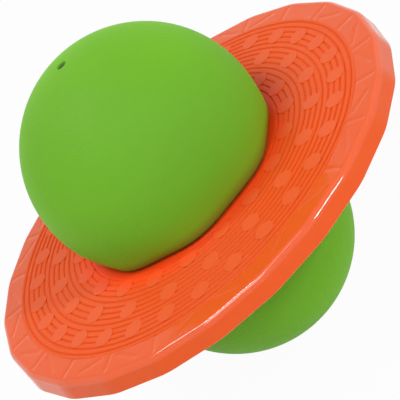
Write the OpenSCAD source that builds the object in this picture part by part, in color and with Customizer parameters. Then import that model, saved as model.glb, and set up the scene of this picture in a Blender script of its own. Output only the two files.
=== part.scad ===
// Hopper ball with a foot deck.
// A hollow ball with two lobes holds a ring shaped deck at its waist, and a plug in its upper pole keeps the air in.
// The axis of the ball is Z, and its lower pole is the origin. Sizes are in millimetres.

/* [Ball] */
// Diameter of the upper lobe
upper_lobe_d = 216; // [205:1:236]
// Diameter of the lower lobe
lower_lobe_d = 210; // [195:1:225]
// Distance between the centres of the two lobes
lobe_spacing = 121; // [110:0.5:130]
// Wall of the ball
ball_wall = 3; // [2:0.5:5]
// How far the deck presses the waist in, from the circle where the lobes would meet
waist_pinch = 3.5; // [2:0.5:8]

/* [Valve] */
// Diameter of the hole in the upper pole
valve_mouth_d = 8.6; // [8:0.2:11]
// Diameter of the sleeve's flange, inside the ball
sleeve_flange_d = 26; // [18:1:36]
// Thickness of the flange at the pole
sleeve_flange_t = 2.5; // [2:0.5:4]
// Diameter of the sleeve's tube
sleeve_tube_d = 12; // [9:0.5:16]
// Length of the tube below the flange
sleeve_tube_l = 16; // [10:1:24]
// Diameter of the plug's shank
plug_d = 5; // [4:0.5:6.5]
// Length of the plug's shank
plug_l = 15; // [10:1:20]
// Length of the taper at the shank's tip
plug_tip_l = 3; // [2:0.5:5]
// Diameter of the shank at its tip
plug_tip_d = 3.5; // [2:0.5:3.5]
// Diameter of the plug's head
plug_head_d = 7.4; // [6.5:0.1:7.8]
// Thickness of the plug's head
plug_head_t = 1.2; // [0.8:0.1:1.6]

/* [Deck] */
// Width across the corners, at the foot of the skirt
deck_d = 430; // [415:1:480]
// Number of sides of the rim
rim_sides = 24; // [16:2:32]
// Height of the deck's top above the plane where the lobes would meet
deck_lift = 16.4; // [13:0.1:19]
// Height from the foot of the skirt to the deck's top
deck_h = 20; // [16:0.5:28]
// Thickness of the deck under its tread
deck_t = 5; // [4:0.5:7]
// Fall from the tread to the rim, where its rounded edge starts
rim_drop = 1; // [0.8:0.1:2]
// Radius of the rim's rounded edge, between the border and the skirt
rim_round = 6; // [4:0.5:8]
// Widening of the skirt on each side, from the rim to the foot
skirt_draft = 1.8; // [0.2:0.2:4]
// Thickness of the skirt, and of the border at the rim
skirt_t = 3; // [2:0.5:4]
// Width of the plain border, from the tread to the corners of the rim
border_w = 25.5; // [18:0.5:34]
// Step down from the tread to the border at its high corners
facet_high = 0.2; // [0.1:0.1:0.4]
// Step down from the tread to the border at its low corners
facet_low = 0.7; // [0.5:0.1:0.8]
// Height of the collar around the hole
collar_h = 22; // [20:0.5:30]
// Wall of the collar
collar_t = 4; // [3:0.5:6]

/* [Tread] */
// Width of the smooth strip between the hole and the middle of the first groove
strip_w = 21.5; // [18:0.5:26]
// Distance from groove to groove
groove_pitch = 6; // [5:0.5:8]
// Width of a groove
groove_w = 2.6; // [1.5:0.1:3.5]
// Depth of a groove
groove_depth = 1; // [0.6:0.1:1.6]
// Diameter of a pad
pad_d = 18.6; // [14:0.2:20]
// Rise of a pad above the tread
pad_rise = 0.4; // [0.2:0.1:0.8]
// Number of pads in the inner ring and in the middle ring
inner_pads = 20; // [12:2:24]
// Number of pads in the outer ring
outer_pads = 30; // [18:2:36]

/* [Ribs] */
// Thickness of a rib under the deck
rib_t = 2.5; // [1.5:0.5:4]
// Number of ring ribs between the collar and the skirt
ring_ribs = 2; // [1:1:4]
// How far the ribs end above the foot of the skirt
rib_short = 3; // [1:0.5:6]

/* [Hidden] */
$fn = 144;

// Free space between the deck and the ball
ball_gap = 0.3;
// Free space between the sleeve and the wall that it is bonded to
bond_gap = 0.1;
// Free space around the plug's shank
plug_gap = 0.05;
// Reach of a cut or of a joined piece past the face that it starts from
overrun = 1;
// Number of flat facets in the rim's rounded edge
edge_facets = 5;

// Where the pad rings lie, as shares of the way from the first groove to the edge of the tread
inner_ring_share = 0.116;
middle_ring_share = 0.446;
outer_ring_share = 0.76;

// Places of the lobes, and of the circle where they would meet
upper_r = upper_lobe_d / 2;
lower_r = lower_lobe_d / 2;
lower_z = lower_r;
upper_z = lower_z + lobe_spacing;
meet_rise = (lobe_spacing * lobe_spacing + lower_r * lower_r - upper_r * upper_r) / (2 * lobe_spacing);
meet_r = sqrt(lower_r * lower_r - meet_rise * meet_rise);
waist_r = meet_r - waist_pinch;

// Heights of the deck, and of the faces of the ball that lie against it
deck_z = lower_z + meet_rise + deck_lift;
seat_z = deck_z + ball_gap;
split_z = deck_z - collar_h;
shoulder_z = split_z - ball_gap;

// Pole of the ball's inner face, where the sleeve and the plug's head rest
valve_z = upper_z + upper_r - ball_wall - bond_gap;
flange_z = valve_z - sleeve_flange_t;
bore_r = plug_d / 2 + plug_gap;

// Radii of the deck
hole_r = waist_r + ball_gap;
foot_r = deck_d / 2;
rim_r = foot_r - skirt_draft;
tread_r = rim_r - border_w;
first_groove_r = hole_r + strip_w;
groove_count = floor((tread_r - first_groove_r - groove_w) / groove_pitch) + 1;
rib_end_r = rim_r - skirt_t / 2;
rib_foot_z = rib_short - deck_h;

// Start of the rim's rounded edge on the border, its end on the skirt, and the angles of its facets' corners
edge_r = rim_r - rim_round;
edge_z = -rim_drop - rim_round;
edge_angles = [90 : -90 / edge_facets : 0];

// Radius of a pad ring at a share of the tread's width
function ring_r(share) = first_groove_r + share * (tread_r - first_groove_r);

// Corners of one ring of the rim, all at one height
function corners(r, z) =
    [for (i = [0 : rim_sides - 1]) [r * cos(i * 360 / rim_sides), r * sin(i * 360 / rim_sides), z]];

// Corners at the inner edge of the border, which lie high and low in turn
function border_corners(r) =
    [for (i = [0 : rim_sides - 1])
        [r * cos(i * 360 / rim_sides), r * sin(i * 360 / rim_sides), i % 2 == 0 ? -facet_high : -facet_low]];

// Two triangles between corner i and the next one of ring a and of ring b, split at ring a's even corner
function panel(a, b, i) =
    let (
        k = (i + 1) % rim_sides,
        ai = a * rim_sides + i,
        ak = a * rim_sides + k,
        bi = b * rim_sides + i,
        bk = b * rim_sides + k
    )
    i % 2 == 0 ? [[ai, ak, bk], [ai, bk, bi]] : [[ai, ak, bi], [ak, bk, bi]];

// Half outline of the upper lobe and its neck, shrunk by inset on all sides, with its foot at foot_z
module upper_outline(inset, foot_z) {
    intersection() {
        translate([0, upper_z])
            circle(r = upper_r - inset);
        translate([0, seat_z + inset])
            square([upper_r, 2 * upper_r]);
    }
    translate([0, foot_z])
        square([waist_r - inset, seat_z + inset + overrun - foot_z]);
}

// Half outline of the lower lobe and its neck, shrunk by inset on all sides, with its top at top_z
module lower_outline(inset, top_z) {
    intersection() {
        translate([0, lower_z])
            circle(r = lower_r - inset);
        translate([0, shoulder_z - inset - 2 * lower_r])
            square([lower_r, 2 * lower_r]);
    }
    translate([0, shoulder_z - inset - overrun])
        square([waist_r - inset, top_z - shoulder_z + inset + overrun]);
}

// Upper half of the ball: a shell that is open at the waist, with the valve's mouth in its pole
module upper_lobe() {
    color("#7DB842")
        rotate_extrude()
            difference() {
                upper_outline(0, split_z);
                upper_outline(ball_wall, split_z - overrun);
                translate([0, valve_z])
                    square([valve_mouth_d / 2, ball_wall + bond_gap + overrun]);
            }
}

// Lower half of the ball: a shell that is open at the waist
module lower_lobe() {
    color("#6BB030")
        rotate_extrude()
            difference() {
                lower_outline(0, split_z);
                lower_outline(ball_wall, split_z + overrun);
            }
}

// Soft sleeve behind the valve's mouth: a flange against the wall, and a tube that grips the plug
module valve_sleeve() {
    color("#3F7A24")
        rotate_extrude() {
            intersection() {
                translate([0, upper_z])
                    circle(r = upper_r - ball_wall - bond_gap);
                translate([bore_r, flange_z])
                    square([sleeve_flange_d / 2 - bore_r, sleeve_flange_t + overrun]);
            }
            translate([bore_r, flange_z - sleeve_tube_l])
                square([sleeve_tube_d / 2 - bore_r, sleeve_tube_l + sleeve_flange_t / 2]);
        }
}

// Push-in plug, whose head lies sunk in the valve's mouth
module valve_plug() {
    color("#2F6A1E")
        translate([0, 0, valve_z]) {
            cylinder(d = plug_head_d, h = plug_head_t);
            translate([0, 0, plug_tip_l - plug_l])
                cylinder(d = plug_d, h = plug_l - plug_tip_l + plug_head_t / 2);
            translate([0, 0, -plug_l])
                cylinder(d1 = plug_tip_d, d2 = plug_d, h = plug_tip_l);
        }
}

// Round part of the deck: grooved plate, collar and ring ribs
module deck_plate() {
    rib_step = (rib_end_r - hole_r) / (ring_ribs + 1);
    rotate_extrude() {
        difference() {
            translate([hole_r, -deck_t])
                square([tread_r - hole_r, deck_t]);
            for (k = [0 : groove_count - 1])
                translate([first_groove_r + k * groove_pitch - groove_w / 2, -groove_depth])
                    square([groove_w, groove_depth + overrun]);
        }
        translate([hole_r, -collar_h])
            square([collar_t, collar_h - deck_t / 2]);
        for (k = [1 : ring_ribs])
            translate([hole_r + k * rib_step - rib_t / 2, rib_foot_z])
                square([rib_t, -deck_t / 2 - rib_foot_z]);
    }
}

// Border and skirt: a ring of flat facets whose section runs over the rounded rim, down the skirt and back inside
module deck_border() {
    inner_r = tread_r - overrun;
    rings = [
        border_corners(inner_r),
        for (t = edge_angles) corners(edge_r + rim_round * cos(t), edge_z + rim_round * sin(t)),
        corners(foot_r, -deck_h),
        corners(foot_r - skirt_t, -deck_h),
        corners(rim_r - skirt_t, edge_z),
        corners(edge_r, -rim_drop - skirt_t),
        corners(inner_r, -deck_t)
    ];
    polyhedron(
        points = [for (ring = rings) each ring],
        faces = [for (a = [0 : len(rings) - 1], i = [0 : rim_sides - 1]) each panel(a, (a + 1) % len(rings), i)]
    );
}

// One rib, from the collar to a corner of the skirt, with its top inside the plate and the border
module deck_rib() {
    collar_r = hole_r + collar_t / 2;
    rotate([90, 0, 0])
        translate([0, 0, -rib_t / 2])
            linear_extrude(height = rib_t)
                polygon([
                    [collar_r, rib_foot_z],
                    [rib_end_r, rib_foot_z],
                    [rib_end_r, edge_z],
                    [edge_r, -rim_drop - skirt_t / 2],
                    [tread_r - overrun, -deck_t / 2],
                    [collar_r, -deck_t / 2]
                ]);
}

// One ring of round pads that fill the grooves and stand proud of the tread, with the first at an angle
module pad_ring(share, count, start) {
    for (i = [0 : count - 1])
        rotate([0, 0, start + i * 360 / count])
            translate([ring_r(share), 0, -deck_t / 2])
                cylinder(d = pad_d, h = deck_t / 2 + pad_rise);
}

// Foot deck: one moulding of plate, border, skirt, collar, ribs and pads
module deck() {
    color("#EB5F37")
        translate([0, 0, deck_z]) {
            deck_plate();
            deck_border();
            for (i = [0 : rim_sides - 1])
                rotate([0, 0, i * 360 / rim_sides])
                    deck_rib();
            pad_ring(inner_ring_share, inner_pads, 180 / inner_pads);
            pad_ring(middle_ring_share, inner_pads, 0);
            pad_ring(outer_ring_share, outer_pads, 0);
        }
}

lower_lobe();
upper_lobe();
valve_sleeve();
valve_plug();
deck();
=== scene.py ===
"""Looks of a hopper ball with a foot deck: a waisted soft ball that grips a glossy, treaded, ring-shaped deck.

The frame is that of the solids: metres, +Z up, and the origin at the lower pole of the ball."""

import math

import bmesh
import bpy
from mathutils import Matrix, Vector


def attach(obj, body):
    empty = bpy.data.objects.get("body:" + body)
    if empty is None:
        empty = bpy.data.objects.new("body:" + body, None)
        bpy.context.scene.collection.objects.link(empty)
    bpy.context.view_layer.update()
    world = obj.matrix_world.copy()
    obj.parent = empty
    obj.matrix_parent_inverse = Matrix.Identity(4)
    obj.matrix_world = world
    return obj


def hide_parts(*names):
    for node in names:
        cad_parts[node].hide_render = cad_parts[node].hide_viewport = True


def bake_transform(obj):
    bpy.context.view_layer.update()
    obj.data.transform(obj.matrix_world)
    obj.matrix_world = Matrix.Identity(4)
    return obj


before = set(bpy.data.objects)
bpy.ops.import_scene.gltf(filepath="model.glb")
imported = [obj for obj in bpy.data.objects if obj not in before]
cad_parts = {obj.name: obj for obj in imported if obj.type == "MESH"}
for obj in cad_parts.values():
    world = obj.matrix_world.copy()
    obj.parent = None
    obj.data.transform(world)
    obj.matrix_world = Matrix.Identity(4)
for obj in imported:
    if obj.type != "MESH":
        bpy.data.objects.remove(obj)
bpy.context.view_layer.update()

MM = 0.001
TINY = 1e-9

# Sizes of the ball
UPPER_R = 108 * MM
LOWER_R = 105 * MM
LOBE_SPACING = 121 * MM
BALL_WALL = 3 * MM
WAIST_PINCH = 3.5 * MM
FOLD_R = 4 * MM
FOLD_LIFT = 1.2 * MM
BALL_TURN = 256
OUTER_STEPS = 120
INNER_STEPS = 40
FOLD_STEPS = 12

# Slack folds of the ball beside the deck: how far up they reach, a mean shift outward, an oval and a ripple
FOLD_REACH = 36 * MM
FOLD_MEAN = 2.1 * MM
FOLD_OVAL = 3.2 * MM
FOLD_OVAL_AT = math.radians(-30.3)
FOLD_RIPPLE = 2.1 * MM
FOLD_RIPPLE_AT = math.radians(-31.3)
FOLD_RIPPLES = 8

# The attribute that keeps each point's place at rest
REST_PLACE = "rest_place"

# Sizes of the valve, with the dish in the plug's head and the rings around its shank
MOUTH_R = 4.3 * MM
MOUTH_LIP = 0.9 * MM
PLUG_R = 2.5 * MM
PLUG_L = 15 * MM
PLUG_TIP_R = 1.75 * MM
PLUG_TIP_L = 3 * MM
PLUG_HEAD_R = 3.7 * MM
PLUG_HEAD_T = 1.2 * MM
PLUG_HEAD_ROUND = 0.48 * MM
PLUG_TURN = 48
DISH_R = 2.59 * MM
DISH_FLOOR_R = 1.665 * MM
DISH_FLOOR_Z = 0.9 * MM
DISH_MIDDLE_Z = 0.84 * MM
SHANK_RINGS = 3
SHANK_RING_STEP = 3 * MM
SHANK_RING_DEPTH = 0.3 * MM
SHANK_RING_SLOPE = 0.4 * MM
SHANK_RING_FLOOR = 0.5 * MM

# Sizes of the deck
FOOT_R = 215 * MM
RIM_SIDES = 24
DECK_LIFT = 16.4 * MM
DECK_H = 20 * MM
DECK_T = 5 * MM
RIM_DROP = 1 * MM
RIM_ROUND = 6 * MM
SKIRT_DRAFT = 1.8 * MM
SKIRT_T = 3 * MM
COLLAR_H = 22 * MM
COLLAR_T = 4 * MM
CORNER_CUT_SHARE = 0.16
EDGE_ROUND = 0.5 * MM
HOLE_ROUND = 1.2 * MM
CORNER_STEPS = 3
PLATE_TURN = 192

# Sizes of the border
BORDER_W = 25.5 * MM
FACET_HIGH = 0.2 * MM
FACET_LOW = 0.7 * MM
PANEL_STEPS = 34
BORDER_STEPS = 18

# Soft creases of a border panel: where the two along its ends start and stop, as shares of the panel's width,
# and where the slanting one does, as shares of its length and its width
CREASE_DEPTH = 0.5 * MM
CREASE_W = 6.5 * MM
CREASE_START = 0.14
CREASE_STOP = 0.92
SLANT_START = (0.2, 0.25)
SLANT_STOP = (0.62, 0.8)

# Sizes of the tread
STRIP_W = 21.5 * MM
GROOVE_COUNT = 14
GROOVE_PITCH = 6 * MM
GROOVE_W = 2.6 * MM
GROOVE_DEPTH = 1 * MM
GROOVE_SLOPE = 1.1 * MM
GROOVE_ROUND = 0.8 * MM
PAD_R = 9.3 * MM
PAD_RISE = 0.4 * MM
PAD_ROUND = 0.4 * MM
PAD_TURN = 32

# Pad rings: share of the way across the tread, number of pads, and angle of the first pad in degrees
PAD_RINGS = ((0.116, 20, 9), (0.446, 20, 0), (0.76, 30, 0))

# Sizes of the ribs under the deck
RIB_T = 2.5 * MM
RING_RIBS = 2
RIB_SHORT = 3 * MM

# Clearances, as in the solids, and the lap of pieces that are united
BALL_GAP = 0.3 * MM
BOND_GAP = 0.1 * MM
LAP = 1 * MM

# Places that follow from the sizes
LOWER_Z = LOWER_R
UPPER_Z = LOWER_Z + LOBE_SPACING
MEET_RISE = (LOBE_SPACING ** 2 + LOWER_R ** 2 - UPPER_R ** 2) / (2 * LOBE_SPACING)
WAIST_R = math.sqrt(LOWER_R ** 2 - MEET_RISE ** 2) - WAIST_PINCH
CONTACT_R = UPPER_R - 3 * FOLD_R
DECK_Z = LOWER_Z + MEET_RISE + DECK_LIFT
SEAT_Z = DECK_Z + BALL_GAP
SHOULDER_Z = DECK_Z - COLLAR_H - BALL_GAP
VALVE_Z = UPPER_Z + UPPER_R - BALL_WALL - BOND_GAP
HOLE_R = WAIST_R + BALL_GAP
RIM_R = FOOT_R - SKIRT_DRAFT
EDGE_R = RIM_R - RIM_ROUND
TREAD_R = RIM_R - BORDER_W
BORDER_IN_R = TREAD_R - LAP
FIRST_GROOVE_R = HOLE_R + STRIP_W
RIB_END_R = RIM_R - SKIRT_T / 2
RIB_FOOT_Z = RIB_SHORT - DECK_H

# Colours, each from a dark tint to a light one
BALL_CLEAN = ((0.147, 0.405, 0.019), (0.161, 0.43, 0.023))
# Orange bounce light from the deck painted on the ball: warmer and less green low on the upper lobe
BALL_BOUNCE_LIGHT = ((0.2, 0.33, 0.012), (0.214, 0.35, 0.014))
# Painted shade with orange bounce light on the ball just above the deck
BALL_SHADE_AND_BOUNCE = ((0.19, 0.11, 0.01), (0.205, 0.13, 0.012))
# Near black painted shade in the crevice where the ball meets the deck
BALL_CREVICE_SHADE = ((0.008, 0.01, 0.002), (0.012, 0.014, 0.003))
# The plug's dark green, darkened further as painted shade of the deep valve mouth
PLUG_SHADED_GREEN = ((0.006, 0.035, 0.005), (0.01, 0.05, 0.008))
SLEEVE_GREEN = ((0.03, 0.13, 0.012), (0.045, 0.17, 0.018))
DECK_PLAIN = ((0.76, 0.101, 0.014), (0.78, 0.109, 0.017))
# Redder, darker grooves: painted shade in the grooves
DECK_GROOVE_SHADE = ((0.74, 0.07, 0.008), (0.76, 0.078, 0.01))
# Paler pads: painted sheen
DECK_PAD_SHEEN = ((0.76, 0.112, 0.027), (0.78, 0.12, 0.033))
# Redder, less yellow deck beside the ball: painted red bounce light and shade
DECK_RED_BOUNCE = ((0.93, 0.068, 0.006), (0.95, 0.076, 0.008))

# How far above the deck the ball's painted bounce light, painted shade and painted crevice shade reach, where
# the deck's painted red bounce light and shade fade, and the shares of a groove's depth and a pad's rise where
# the deck's colours change
BOUNCE_LIGHT_REACH = 42 * MM
SHADE_AND_BOUNCE_REACH = 15 * MM
CREVICE_SHADE_REACH = 4.6 * MM
RED_BOUNCE_R = 98 * MM
RED_BOUNCE_END_R = 128 * MM
LAND_SHARE = 0.7
PAD_SHARES = (0.4, 0.8)

# Specular levels, and the depths on the rim's round, as shares of its radius, where its gloss starts, is full,
# begins to fade and ends
BALL_SPECULAR = 0.2
TREAD_SPECULAR = 0.12
BORDER_SPECULAR = 0.18
EDGE_SPECULAR = 0.56
EDGE_GLOSS = (1, 0.7, 0.1, 0.02)

# Cells of the ball's grain in a metre, and how much the roughness of the valve's pieces varies
GRAIN_SCALE = 480
VALVE_ROUGH_SPAN = 0.15

# Camera, fitted to the photograph
IMAGE_PX = 400
FOCAL_PX = 1957
SENSOR_MM = 36
VIEW_TURN = math.radians(47.7)
VIEW_RISE = math.radians(26.079)
VIEW_ROLL = math.radians(-45.8)
VIEW_DISTANCE = 1.6934
VIEW_PAN = 0.0096
VIEW_TILT = -0.0092
VIEW_END = 50
MIDDLE = Vector((0, 0, DECK_Z))

# Floor: half its width, its grey, and the share of its seen colour that it gives by itself. World: its light.
FLOOR_HALF = 6
FLOOR_GREY = 0.75
FLOOR_GLOW = 0.96
WORLD_FILL = 0.12

# Lamps: name, direction from the deck along the picture's right, its up and to the camera, distance, width,
# height, power, and whether gloss mirrors it. The two softboxes make the white streaks on the rim.
LAMPS = (
    ("left_softbox", (-0.847, 0.427, 0.317), 1.9, 0.16, 0.74, 12.1, True),
    ("right_softbox", (0.32, 0.48, 0.81), 2, 0.2, 0.2, 7.9, True),
    ("top_panel", (-0.63, 0.375, 0.68), 2.6, 1.3, 1.3, 30.4, True),
    ("front_panel", (0.05, -0.05, 1), 2.6, 1.6, 1.6, 15.4, False),
    ("right_panel", (0.65, 0.4, 0.65), 2.6, 1.3, 1.3, 5.3, False),
    ("low_strip", (0.481, -0.178, 0.859), 2.2, 1.8, 0.14, 9.8, False),
    ("back_panel", (-0.35, 0.5, -0.75), 2.6, 1.3, 1.3, 6.7, False),
)


# Mesh helpers

def new_object(name, verts, faces):
    """A mesh object from points and faces, in the scene."""
    mesh = bpy.data.meshes.new(name)
    mesh.from_pydata(verts, [], faces)
    mesh.update()
    obj = bpy.data.objects.new(name, mesh)
    bpy.context.scene.collection.objects.link(obj)
    return obj


def arc(centre, radius, start, end, steps):
    """Points on an arc in a section plane, with angles in degrees."""
    points = []
    for i in range(steps + 1):
        angle = math.radians(start + (end - start) * i / steps)
        points.append((centre[0] + radius * math.cos(angle), centre[1] + radius * math.sin(angle)))
    return points


def rounded(corners):
    """A closed outline from corners (x, y, radius), each rounded by an arc of that radius."""
    points = []
    for i, (x, y, radius) in enumerate(corners):
        here = Vector((x, y))
        if radius <= 0:
            points.append((x, y))
            continue
        before = (Vector(corners[i - 1][:2]) - here).normalized()
        after = (Vector(corners[(i + 1) % len(corners)][:2]) - here).normalized()
        half = before.angle(after) / 2
        reach = radius / math.tan(half)
        middle = here + (before + after).normalized() * radius / math.sin(half)
        first = here + before * reach - middle
        turn = first.angle_signed(here + after * reach - middle)
        for k in range(CORNER_STEPS + 1):
            spot = first.copy()
            spot.rotate(Matrix.Rotation(-turn * k / CORNER_STEPS, 2))
            points.append(tuple(middle + spot))
    return points


def revolve(section, turn, closed):
    """Points and faces of a section (r, z) turned about Z. Points at r 0 become poles."""
    verts = []
    rings = []
    for r, z in section:
        if r < TINY:
            rings.append([len(verts)] * turn)
            verts.append((0, 0, z))
            continue
        rings.append(list(range(len(verts), len(verts) + turn)))
        for i in range(turn):
            angle = 2 * math.pi * i / turn
            verts.append((r * math.cos(angle), r * math.sin(angle), z))
    faces = []
    for a in range(len(rings) if closed else len(rings) - 1):
        lower = rings[a]
        upper = rings[(a + 1) % len(rings)]
        for i in range(turn):
            k = (i + 1) % turn
            loop = [lower[i], lower[k], upper[k], upper[i]]
            face = [v for n, v in enumerate(loop) if v != loop[n - 1]]
            if len(face) > 2:
                faces.append(face)
    return verts, faces


def moved(shape, matrix):
    """A shape's points under a matrix, with its faces as they are."""
    verts, faces = shape
    return [tuple(matrix @ Vector(v)) for v in verts], faces


def joined(shapes):
    """Several shapes as one list of points and one of faces."""
    verts = []
    faces = []
    for more_verts, more_faces in shapes:
        base = len(verts)
        verts.extend(more_verts)
        faces.extend([[base + v for v in face] for face in more_faces])
    return verts, faces


def outward(obj):
    """Turns the faces of closed shells to the outside."""
    mesh = bmesh.new()
    mesh.from_mesh(obj.data)
    bmesh.ops.recalc_face_normals(mesh, faces=mesh.faces)
    mesh.to_mesh(obj.data)
    mesh.free()


def applied(obj):
    """Applies all modifiers of an object."""
    graph = bpy.context.evaluated_depsgraph_get()
    mesh = bpy.data.meshes.new_from_object(obj.evaluated_get(graph))
    obj.modifiers.clear()
    old = obj.data
    obj.data = mesh
    mesh.name = obj.name
    bpy.data.meshes.remove(old)


def unite(base, others):
    """Unites closed solids with the first one, and removes them."""
    for other in others:
        step = base.modifiers.new("unite", "BOOLEAN")
        step.operation = "UNION"
        step.solver = "MANIFOLD"
        step.object = other
    bpy.context.view_layer.update()
    applied(base)
    for other in others:
        bpy.data.objects.remove(other)


def smooth(obj, sharp_degrees):
    """Smooth shading between faces that meet at less than an angle, with large faces kept flat."""
    obj.data.shade_smooth()
    obj.data.set_sharp_from_angle(angle=math.radians(sharp_degrees))
    weighted = obj.modifiers.new("weighted", "WEIGHTED_NORMAL")
    weighted.keep_sharp = True
    applied(obj)


def keep_places(obj):
    """Keeps where each point is at rest, so that a material stays in place on a soft piece that gives."""
    places = obj.data.attributes.new(REST_PLACE, "FLOAT_VECTOR", "POINT")
    for point, place in zip(obj.data.vertices, places.data):
        place.vector = point.co


# Material helpers

def principled(name):
    """A new material with its node tree and shader."""
    material = bpy.data.materials.new(name)
    material.use_nodes = True
    tree = material.node_tree
    return material, tree, tree.nodes["Principled BSDF"]


def object_coords(tree):
    """Coordinates in the object's own metres."""
    return tree.nodes.new("ShaderNodeTexCoord").outputs["Object"]


def noise(tree, coords, scale, detail=2):
    """A noise texture with values from 0 to 1."""
    node = tree.nodes.new("ShaderNodeTexNoise")
    node.inputs["Scale"].default_value = scale
    node.inputs["Detail"].default_value = detail
    tree.links.new(coords, node.inputs["Vector"])
    return node.outputs["Fac"]


def ramp(tree, value, low, high):
    """A value from 0 to 1 brought into a range."""
    node = tree.nodes.new("ShaderNodeMapRange")
    node.inputs["To Min"].default_value = low
    node.inputs["To Max"].default_value = high
    tree.links.new(value, node.inputs["Value"])
    return node.outputs["Result"]


def spread(tree, value, low, high):
    """A soft step from 0 at one length to 1 at another."""
    node = tree.nodes.new("ShaderNodeMapRange")
    node.interpolation_type = "SMOOTHSTEP"
    node.inputs["From Min"].default_value = low
    node.inputs["From Max"].default_value = high
    tree.links.new(value, node.inputs["Value"])
    return node.outputs["Result"]


def height_of(tree, coords):
    """Height above the floor."""
    split = tree.nodes.new("ShaderNodeSeparateXYZ")
    tree.links.new(coords, split.inputs["Vector"])
    return split.outputs["Z"]


def radius_of(tree, coords):
    """Distance from the ball's axis."""
    flat = tree.nodes.new("ShaderNodeVectorMath")
    flat.operation = "MULTIPLY"
    flat.inputs[1].default_value = (1, 1, 0)
    tree.links.new(coords, flat.inputs[0])
    length = tree.nodes.new("ShaderNodeVectorMath")
    length.operation = "LENGTH"
    tree.links.new(flat.outputs["Vector"], length.inputs[0])
    return length.outputs["Value"]


def combined(tree, operation, first, second):
    """Two values put together by a maths operation."""
    node = tree.nodes.new("ShaderNodeMath")
    node.operation = operation
    tree.links.new(first, node.inputs[0])
    tree.links.new(second, node.inputs[1])
    return node.outputs["Value"]


def tint(tree, value, dark, light):
    """A colour between two fixed ones, by a value from 0 to 1."""
    node = tree.nodes.new("ShaderNodeMix")
    node.data_type = "RGBA"
    node.inputs["A"].default_value = (*dark, 1)
    node.inputs["B"].default_value = (*light, 1)
    tree.links.new(value, node.inputs["Factor"])
    return node.outputs["Result"]


def blended(tree, factor, first, second):
    """One colour where the factor is 0 and another where it is 1."""
    node = tree.nodes.new("ShaderNodeMix")
    node.data_type = "RGBA"
    tree.links.new(factor, node.inputs["Factor"])
    tree.links.new(first, node.inputs["A"])
    tree.links.new(second, node.inputs["B"])
    return node.outputs["Result"]


def bump(tree, shader, height, strength, distance):
    """A bump on the shader from a height."""
    node = tree.nodes.new("ShaderNodeBump")
    node.inputs["Strength"].default_value = strength
    node.inputs["Distance"].default_value = distance
    tree.links.new(height, node.inputs["Height"])
    tree.links.new(node.outputs["Normal"], shader.inputs["Normal"])


# Materials

def ball_material():
    """Soft green PVC: satin, with a fine grain and slight clouds of colour, and beside the deck painted orange
    bounce light and painted shade, near black in the crevice.
    """
    material, tree, shader = principled("soft_green_pvc")
    place = tree.nodes.new("ShaderNodeAttribute")
    place.attribute_name = REST_PLACE
    coords = place.outputs["Vector"]
    clouds = noise(tree, coords, scale=14, detail=3)
    clean = tint(tree, clouds, *BALL_CLEAN)
    bounce_light = tint(tree, clouds, *BALL_BOUNCE_LIGHT)
    shade_and_bounce = tint(tree, clouds, *BALL_SHADE_AND_BOUNCE)
    crevice_shade = tint(tree, clouds, *BALL_CREVICE_SHADE)
    height = height_of(tree, coords)
    # Painted orange bounce light from the deck, fading upward
    colour = blended(tree, spread(tree, height, SEAT_Z, SEAT_Z + BOUNCE_LIGHT_REACH), bounce_light, clean)
    # Painted shade with orange bounce light close above the deck
    colour = blended(tree, spread(tree, height, SEAT_Z, SEAT_Z + SHADE_AND_BOUNCE_REACH), shade_and_bounce, colour)
    # Near black painted shade in the crevice at the fold
    colour = blended(tree, spread(tree, height, SEAT_Z + FOLD_LIFT, SEAT_Z + CREVICE_SHADE_REACH), crevice_shade, colour)
    above_waist = spread(tree, height, SHOULDER_Z, SHOULDER_Z + LAP)
    tree.links.new(blended(tree, above_waist, clean, colour), shader.inputs["Base Color"])
    satin = ramp(tree, noise(tree, coords, scale=45, detail=4), low=0.57, high=0.67)
    tree.links.new(satin, shader.inputs["Roughness"])
    shader.inputs["Diffuse Roughness"].default_value = 1
    shader.inputs["Specular IOR Level"].default_value = BALL_SPECULAR
    grain = tree.nodes.new("ShaderNodeTexVoronoi")
    grain.feature = "SMOOTH_F1"
    grain.inputs["Scale"].default_value = GRAIN_SCALE
    tree.links.new(coords, grain.inputs["Vector"])
    bump(tree, shader, grain.outputs["Distance"], strength=0.7, distance=0.5 * MM)
    return material


def valve_material(name, colours, roughness):
    """Dark green moulding of the valve's small pieces, slightly mottled. For the plug, its colours are darkened
    further as painted shade of the deep mouth.
    """
    material, tree, shader = principled(name)
    coords = object_coords(tree)
    tree.links.new(tint(tree, noise(tree, coords, scale=400), *colours), shader.inputs["Base Color"])
    uneven_gloss = ramp(tree, noise(tree, coords, scale=900), low=roughness, high=roughness + VALVE_ROUGH_SPAN)
    tree.links.new(uneven_gloss, shader.inputs["Roughness"])
    bump(tree, shader, noise(tree, coords, scale=1500), strength=0.1, distance=0.1 * MM)
    return material


def deck_plastic(name, rough_low, rough_high):
    """A material of slightly uneven orange plastic, with its parts and faint clouds for its colour."""
    material, tree, shader = principled(name)
    coords = object_coords(tree)
    clouds = noise(tree, coords, scale=9)
    polish = ramp(tree, noise(tree, coords, scale=60, detail=3), rough_low, rough_high)
    tree.links.new(polish, shader.inputs["Roughness"])
    shader.inputs["Diffuse Roughness"].default_value = 0.8
    bump(tree, shader, noise(tree, coords, scale=220), strength=0.05, distance=0.2 * MM)
    return material, tree, shader, coords, clouds


def border_material():
    """The deck's polished border and skirt, glossiest along the rounded edge of the rim."""
    parts = deck_plastic("polished_orange_plastic", rough_low=0.1, rough_high=0.16)
    material, tree, shader, coords, clouds = parts
    tree.links.new(tint(tree, clouds, *DECK_PLAIN), shader.inputs["Base Color"])
    start, full, fade, end = [DECK_Z - RIM_DROP - RIM_ROUND * share for share in EDGE_GLOSS]
    height = height_of(tree, coords)
    edge = combined(tree, "SUBTRACT", spread(tree, height, start, full), spread(tree, height, fade, end))
    tree.links.new(ramp(tree, edge, BORDER_SPECULAR, EDGE_SPECULAR), shader.inputs["Specular IOR Level"])
    return material


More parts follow.
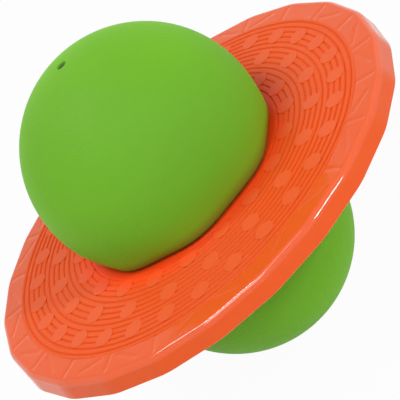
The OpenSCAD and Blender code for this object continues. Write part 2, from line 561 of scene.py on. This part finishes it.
def tread_material():
    """The deck's satin tread: redder in the grooves from painted shade, with painted red bounce light and shade
    beside the ball, and paler pads from painted sheen.
    """
    parts = deck_plastic("satin_orange_plastic", rough_low=0.4, rough_high=0.52)
    material, tree, shader, coords, clouds = parts
    plain = tint(tree, clouds, *DECK_PLAIN)
    groove = tint(tree, clouds, *DECK_GROOVE_SHADE)
    pad_sheen = tint(tree, noise(tree, coords, scale=300, detail=4), *DECK_PAD_SHEEN)
    red_bounce = tint(tree, clouds, *DECK_RED_BOUNCE)
    height = height_of(tree, coords)
    # Painted shade: the grooves redder and darker
    land = spread(tree, height, DECK_Z - GROOVE_DEPTH * LAND_SHARE, DECK_Z)
    # Painted sheen: the pads paler
    pad = spread(tree, height, *[DECK_Z + PAD_RISE * share for share in PAD_SHARES])
    colour = blended(tree, pad, blended(tree, land, groove, plain), pad_sheen)
    # Painted red bounce light and shade beside the ball, fading outward
    far = spread(tree, radius_of(tree, coords), RED_BOUNCE_R, RED_BOUNCE_END_R)
    tree.links.new(blended(tree, far, red_bounce, colour), shader.inputs["Base Color"])
    shader.inputs["Specular IOR Level"].default_value = TREAD_SPECULAR
    return material


# Ball and valve

def lobe_arcs(sphere_r, centre_z, face_z, tip_angle, fold_r, side, steps):
    """Section of one lobe from its pole end to its flat beside the deck: the sphere and the rounded fold.
    side is 1 for a lobe above its flat and -1 for one below it, and tip_angle is where the sphere starts."""
    rise = centre_z - (face_z + side * fold_r)
    fold_centre_r = math.sqrt((sphere_r - fold_r) ** 2 - rise ** 2)
    fold_angle = math.degrees(math.atan2(-rise, fold_centre_r))
    points = arc((0, centre_z), sphere_r, tip_angle, fold_angle, steps)
    points += arc((fold_centre_r, face_z + side * fold_r), fold_r, fold_angle, -90 * side, FOLD_STEPS)[1:]
    return points


def ball_section(inset, mouth_r, steps):
    """Section of the ball's surface at a depth under its outer face, from the mouth to the lower pole."""
    mouth_angle = math.degrees(math.acos(mouth_r / (UPPER_R - inset)))
    fold_r = FOLD_R - inset
    seat_z = SEAT_Z + FOLD_LIFT + inset
    shoulder_z = SHOULDER_Z - inset
    upper = lobe_arcs(UPPER_R - inset, UPPER_Z, seat_z, mouth_angle, fold_r, 1, steps)
    lower = lobe_arcs(LOWER_R - inset, LOWER_Z, shoulder_z, -90, fold_r, -1, steps)
    waist = [(WAIST_R - inset, seat_z), (WAIST_R - inset, shoulder_z)]
    return upper + waist + lower[::-1]


def uneven(point):
    """A point of the ball, moved in or out beside the deck, where the soft wall lies in slack folds."""
    x, y, z = point
    if not SEAT_Z - LAP < z < SEAT_Z + FOLD_REACH or math.hypot(x, y) < WAIST_R + LAP:
        return point
    share = min(1, 1 - (z - SEAT_Z) / FOLD_REACH) ** 2
    angle = math.atan2(y, x)
    oval = FOLD_OVAL * math.cos(2 * (angle - FOLD_OVAL_AT))
    ripple = FOLD_RIPPLE * math.cos(FOLD_RIPPLES * (angle - FOLD_RIPPLE_AT))
    scale = 1 + share * (FOLD_MEAN + oval - ripple) / CONTACT_R
    return (x * scale, y * scale, z)


def make_ball():
    """The whole ball as one shell, from the lip of the valve's mouth over both lobes and back inside."""
    lip_r = MOUTH_R + MOUTH_LIP
    lip_z = UPPER_Z + math.sqrt(UPPER_R ** 2 - lip_r ** 2) - MOUTH_LIP
    lip = arc((lip_r, lip_z), MOUTH_LIP, start=180, end=93, steps=6)
    outer = ball_section(0, lip_r, OUTER_STEPS)
    inner = ball_section(BALL_WALL, MOUTH_R, INNER_STEPS)
    verts, faces = revolve(lip + outer + inner[::-1], BALL_TURN, closed=True)
    ball = new_object("ball", [uneven(v) for v in verts], faces)
    outward(ball)
    smooth(ball, sharp_degrees=50)
    keep_places(ball)
    ball.data.materials.append(ball_material())
    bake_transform(ball)
    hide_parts("upper_lobe", "lower_lobe")


def make_plug():
    """The plug: a round head with a shallow dish, and a ringed shank with a tapered tip."""
    round_middle = (PLUG_HEAD_R - PLUG_HEAD_ROUND, PLUG_HEAD_T - PLUG_HEAD_ROUND)
    section = [(0, DISH_MIDDLE_Z), (DISH_FLOOR_R, DISH_FLOOR_Z), (DISH_R, PLUG_HEAD_T)]
    section += arc(round_middle, PLUG_HEAD_ROUND, start=90, end=0, steps=5)
    section += [(PLUG_HEAD_R, 0), (PLUG_R, 0)]
    ring_r = PLUG_R - SHANK_RING_DEPTH
    for k in range(SHANK_RINGS):
        top = -SHANK_RING_STEP * (k + 1)
        floor_top = top - SHANK_RING_SLOPE
        floor_end = floor_top - SHANK_RING_FLOOR
        section += [(PLUG_R, top), (ring_r, floor_top), (ring_r, floor_end)]
        section += [(PLUG_R, floor_end - SHANK_RING_SLOPE)]
    section += [(PLUG_R, PLUG_TIP_L - PLUG_L), (PLUG_TIP_R, -PLUG_L), (0, -PLUG_L)]
    shape = revolve(section, PLUG_TURN, closed=False)
    plug = new_object("plug", *moved(shape, Matrix.Translation((0, 0, VALVE_Z))))
    outward(plug)
    smooth(plug, sharp_degrees=40)
    # The plug's colours carry painted shade of the deep mouth it sits in
    plug.data.materials.append(valve_material("plug_green_painted_shade", PLUG_SHADED_GREEN, roughness=0.45))
    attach(plug, "valve_plug")
    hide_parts("valve_plug")


def dress_sleeve():
    """The sleeve inside the ball keeps its solid, with the material of a soft dark green moulding."""
    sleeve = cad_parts["valve_sleeve"]
    sleeve.data.materials.clear()
    sleeve.data.materials.append(valve_material("sleeve_green", SLEEVE_GREEN, roughness=0.5))


# Deck, with heights from the top of its tread

def plate_section():
    """Section of the round part of the deck: grooved top, ring ribs below and the collar around the hole."""
    corners = [(HOLE_R, 0, HOLE_ROUND)]
    for k in range(GROOVE_COUNT):
        middle = FIRST_GROOVE_R + k * GROOVE_PITCH
        corners += [
            (middle - GROOVE_W / 2, 0, GROOVE_ROUND),
            (middle - GROOVE_W / 2 + GROOVE_SLOPE, -GROOVE_DEPTH, GROOVE_ROUND),
            (middle + GROOVE_W / 2 - GROOVE_SLOPE, -GROOVE_DEPTH, GROOVE_ROUND),
            (middle + GROOVE_W / 2, 0, GROOVE_ROUND),
        ]
    corners += [(TREAD_R, 0, EDGE_ROUND), (TREAD_R, -DECK_T, 0)]
    rib_step = (RIB_END_R - HOLE_R) / (RING_RIBS + 1)
    for k in range(RING_RIBS, 0, -1):
        outside = HOLE_R + k * rib_step + RIB_T / 2
        corners += [
            (outside, -DECK_T, EDGE_ROUND),
            (outside, RIB_FOOT_Z, EDGE_ROUND),
            (outside - RIB_T, RIB_FOOT_Z, EDGE_ROUND),
            (outside - RIB_T, -DECK_T, EDGE_ROUND),
        ]
    collar_out = HOLE_R + COLLAR_T
    corners += [
        (collar_out, -DECK_T, EDGE_ROUND),
        (collar_out, -COLLAR_H, HOLE_ROUND),
        (HOLE_R, -COLLAR_H, HOLE_ROUND),
    ]
    return rounded(corners)


def pads():
    """All pads, as closed discs that reach down into the plate."""
    section = [(0, -DECK_T / 2), (PAD_R, -DECK_T / 2)]
    section += arc((PAD_R - PAD_ROUND, PAD_RISE - PAD_ROUND), PAD_ROUND, start=0, end=90, steps=4)
    section += [(0, PAD_RISE)]
    disc = revolve(section, PAD_TURN, closed=False)
    shapes = []
    for share, count, first in PAD_RINGS:
        ring_r = FIRST_GROOVE_R + share * (TREAD_R - FIRST_GROOVE_R)
        for i in range(count):
            turn = Matrix.Rotation(math.radians(first + 360 * i / count), 4, "Z")
            shapes.append(moved(disc, turn @ Matrix.Translation((ring_r, 0, 0))))
    return joined(shapes)


def line_dent(u, v, start, stop):
    """Depth of a soft crease at a point of a border panel, along a line between two points of the panel."""
    point, first, last = Vector((u, v)), Vector(start), Vector(stop)
    along = last - first
    share = min(1, max(0, (point - first).dot(along) / along.length_squared))
    away = (point - first - share * along).length
    if away > CREASE_W / 2:
        return 0
    return CREASE_DEPTH * (0.5 + 0.5 * math.cos(2 * math.pi * away / CREASE_W))


def border_height(side, s, t):
    """Height of a border panel, with facets and creases, at shares along the rim and from tread to rim."""
    if side % 2:
        s = 1 - s
    if s >= t:
        height = -FACET_HIGH * (1 - s) - FACET_LOW * (s - t) - RIM_DROP * t
    else:
        height = -FACET_HIGH * (1 - t) - RIM_DROP * t
    width = EDGE_R - BORDER_IN_R
    length = 2 * (BORDER_IN_R + width * t) * math.sin(math.pi / RIM_SIDES)
    low, high = width * CREASE_START, width * CREASE_STOP
    lines = (
        ((0, low), (0, high)),
        ((length, low), (length, high)),
        ((length * SLANT_START[0], width * SLANT_START[1]), (length * SLANT_STOP[0], width * SLANT_STOP[1])),
    )
    return height - max(line_dent(length * s, width * t, *line) for line in lines)


def rim_point(start, end, s):
    """A point at a share along one side of the rim, for a rim of radius 1, with its corners eased off."""
    x = math.cos(start) + (math.cos(end) - math.cos(start)) * s
    y = math.sin(start) + (math.sin(end) - math.sin(start)) * s
    near = max(0, 1 - min(s, 1 - s) / CORNER_CUT_SHARE)
    side = 2 * math.sin(math.pi / RIM_SIDES)
    ease = 1 - near ** 2 * side * CORNER_CUT_SHARE * math.tan(math.pi / RIM_SIDES) / 2
    return x * ease, y * ease


def border():
    """The border, the rounded rim and the skirt, around a rim with straight sides, as one closed ring."""
    edge = arc((EDGE_R, -RIM_DROP - RIM_ROUND), RIM_ROUND, start=84, end=6, steps=13)
    outline = [(FOOT_R, EDGE_ROUND - DECK_H), (FOOT_R - EDGE_ROUND, -DECK_H)]
    outline += [(FOOT_R - SKIRT_T + EDGE_ROUND, -DECK_H), (FOOT_R - SKIRT_T, EDGE_ROUND - DECK_H)]
    outline += [(RIM_R - SKIRT_T, -RIM_DROP - RIM_ROUND), (EDGE_R, -RIM_DROP - SKIRT_T), (BORDER_IN_R, -DECK_T)]
    columns = []
    for side in range(RIM_SIDES):
        start = 2 * math.pi * side / RIM_SIDES
        end = 2 * math.pi * (side + 1) / RIM_SIDES
        for i in range(PANEL_STEPS):
            s = i / PANEL_STEPS
            x, y = rim_point(start, end, s)
            line = []
            for n in range(BORDER_STEPS + 1):
                t = n / BORDER_STEPS
                line.append((BORDER_IN_R + (EDGE_R - BORDER_IN_R) * t, border_height(side, s, t)))
            columns.append([(r * x, r * y, z) for r, z in line + edge + outline])
    size = len(columns[0])
    verts = [point for column in columns for point in column]
    faces = []
    for c in range(len(columns)):
        here, there = c * size, (c + 1) % len(columns) * size
        for a in range(size):
            b = (a + 1) % size
            faces.append([here + a, here + b, there + b, there + a])
    return verts, faces


def ribs():
    """Radial ribs from the collar to the corners of the skirt, with rounded feet."""
    stations = [
        (HOLE_R + COLLAR_T / 2, -DECK_T / 2),
        (BORDER_IN_R, -DECK_T / 2),
        (EDGE_R, -RIM_DROP - SKIRT_T / 2),
        (RIB_END_R, -RIM_DROP - RIM_ROUND),
    ]
    half = RIB_T / 2
    foot = [(-half, RIB_FOOT_Z + EDGE_ROUND), (EDGE_ROUND - half, RIB_FOOT_Z)]
    foot += [(half - EDGE_ROUND, RIB_FOOT_Z), (half, RIB_FOOT_Z + EDGE_ROUND)]
    loops = [[(r, y, z) for y, z in [(-half, top)] + foot + [(half, top)]] for r, top in stations]
    size = len(loops[0])
    verts = [point for loop in loops for point in loop]
    faces = [list(range(size)), list(range(len(verts) - size, len(verts)))]
    for a in range(len(loops) - 1):
        for i in range(size):
            k = (i + 1) % size
            faces.append([a * size + i, a * size + k, (a + 1) * size + k, (a + 1) * size + i])
    spin = 2 * math.pi / RIM_SIDES
    return joined([moved((verts, faces), Matrix.Rotation(spin * i, 4, "Z")) for i in range(RIM_SIDES)])


def make_deck():
    """The deck as one moulding of plate, border, skirt, collar, ribs and pads."""
    lift = Matrix.Translation((0, 0, DECK_Z))
    deck = new_object("foot_deck", *moved(revolve(plate_section(), PLATE_TURN, closed=True), lift))
    others = []
    for name, shape in (("border", border()), ("ribs", ribs()), ("pads", pads())):
        others.append(new_object(name, *moved(shape, lift)))
    for part in [deck] + others:
        outward(part)
    unite(deck, others)
    smooth(deck, sharp_degrees=40)
    deck.data.materials.clear()
    deck.data.materials.append(tread_material())
    deck.data.materials.append(border_material())
    for face in deck.data.polygons:
        face.material_index = int(face.center.xy.length > TREAD_R - EDGE_ROUND / 2)
    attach(deck, "deck")
    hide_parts("deck")


# Stage: camera, floor, world and lamps

def view_axes():
    """Right, up and back of the camera, before its pan and tilt."""
    right = Vector((math.cos(VIEW_TURN), math.sin(VIEW_TURN), 0))
    ahead = Vector((-math.sin(VIEW_TURN), math.cos(VIEW_TURN), 0))
    back = -ahead * math.cos(VIEW_RISE) + Vector((0, 0, math.sin(VIEW_RISE)))
    up = ahead * math.sin(VIEW_RISE) + Vector((0, 0, math.cos(VIEW_RISE)))
    cos, sin = math.cos(VIEW_ROLL), math.sin(VIEW_ROLL)
    return right * cos + up * sin, up * cos - right * sin, back


def make_camera():
    """The photograph's camera. Its roll carries the tilt that the toy has in the photograph."""
    right, up, back = view_axes()
    forward = (VIEW_PAN * right + VIEW_TILT * up - back).normalized()
    right = (right - forward * right.dot(forward)).normalized()
    up = right.cross(forward)
    data = bpy.data.cameras.new("camera")
    data.sensor_width = SENSOR_MM
    data.lens = SENSOR_MM * FOCAL_PX / IMAGE_PX
    data.clip_end = VIEW_END
    camera = bpy.data.objects.new("camera", data)
    bpy.context.scene.collection.objects.link(camera)
    matrix = Matrix((right, up, -forward)).transposed().to_4x4()
    matrix.translation = MIDDLE + back * VIEW_DISTANCE
    camera.matrix_world = matrix
    bpy.context.scene.camera = camera


def seen_directly(tree):
    """1 for rays from the camera, from gloss and through glass, and 0 for the rays that carry light."""
    path = tree.nodes.new("ShaderNodeLightPath")
    seen = combined(tree, "MAXIMUM", path.outputs["Is Camera Ray"], path.outputs["Is Glossy Ray"])
    return combined(tree, "MAXIMUM", seen, path.outputs["Is Transmission Ray"])


def make_floor():
    """A plain pale floor. Seen directly, most of its white is its own, and it keeps a soft shadow."""
    half = FLOOR_HALF
    corners = [(-half, -half, 0), (half, -half, 0), (half, half, 0), (-half, half, 0)]
    floor = new_object("floor", corners, [[0, 1, 2, 3]])
    material, tree, shader = principled("white_floor")
    shader.inputs["Base Color"].default_value = (FLOOR_GREY, FLOOR_GREY, FLOOR_GREY, 1)
    shader.inputs["Roughness"].default_value = 0.9
    shader.inputs["Specular IOR Level"].default_value = 0
    glow = tree.nodes.new("ShaderNodeEmission")
    glow.inputs["Strength"].default_value = 1
    mix = tree.nodes.new("ShaderNodeMixShader")
    tree.links.new(ramp(tree, seen_directly(tree), low=0, high=FLOOR_GLOW), mix.inputs["Fac"])
    tree.links.new(shader.outputs["BSDF"], mix.inputs[1])
    tree.links.new(glow.outputs["Emission"], mix.inputs[2])
    tree.links.new(mix.outputs["Shader"], tree.nodes["Material Output"].inputs["Surface"])
    floor.data.materials.append(material)


def make_world():
    """A white background that gives only a little light."""
    world = bpy.data.worlds.new("studio")
    world.use_nodes = True
    tree = world.node_tree
    background = tree.nodes["Background"]
    background.inputs["Color"].default_value = (1, 1, 1, 1)
    strength = ramp(tree, seen_directly(tree), low=WORLD_FILL, high=1)
    tree.links.new(strength, background.inputs["Strength"])
    bpy.context.scene.world = world


def make_lamp(name, direction, distance, width, height, power, mirrored):
    """A softbox that faces the deck, with the values of the table of lamps."""
    right, up, back = view_axes()
    towards = (direction[0] * right + direction[1] * up + direction[2] * back).normalized()
    data = bpy.data.lights.new(name, "AREA")
    data.shape = "RECTANGLE"
    data.size = width
    data.size_y = height
    data.energy = power
    lamp = bpy.data.objects.new(name, data)
    bpy.context.scene.collection.objects.link(lamp)
    lamp.location = MIDDLE + towards * distance
    lamp.rotation_euler = towards.to_track_quat("Z", "Y").to_euler()
    lamp.visible_camera = False
    lamp.visible_glossy = mirrored


make_ball()
make_plug()
dress_sleeve()
make_deck()
make_camera()
make_floor()
make_world()
for lamp_values in LAMPS:
    make_lamp(*lamp_values)
bpy.context.scene.view_settings.view_transform = "Standard"
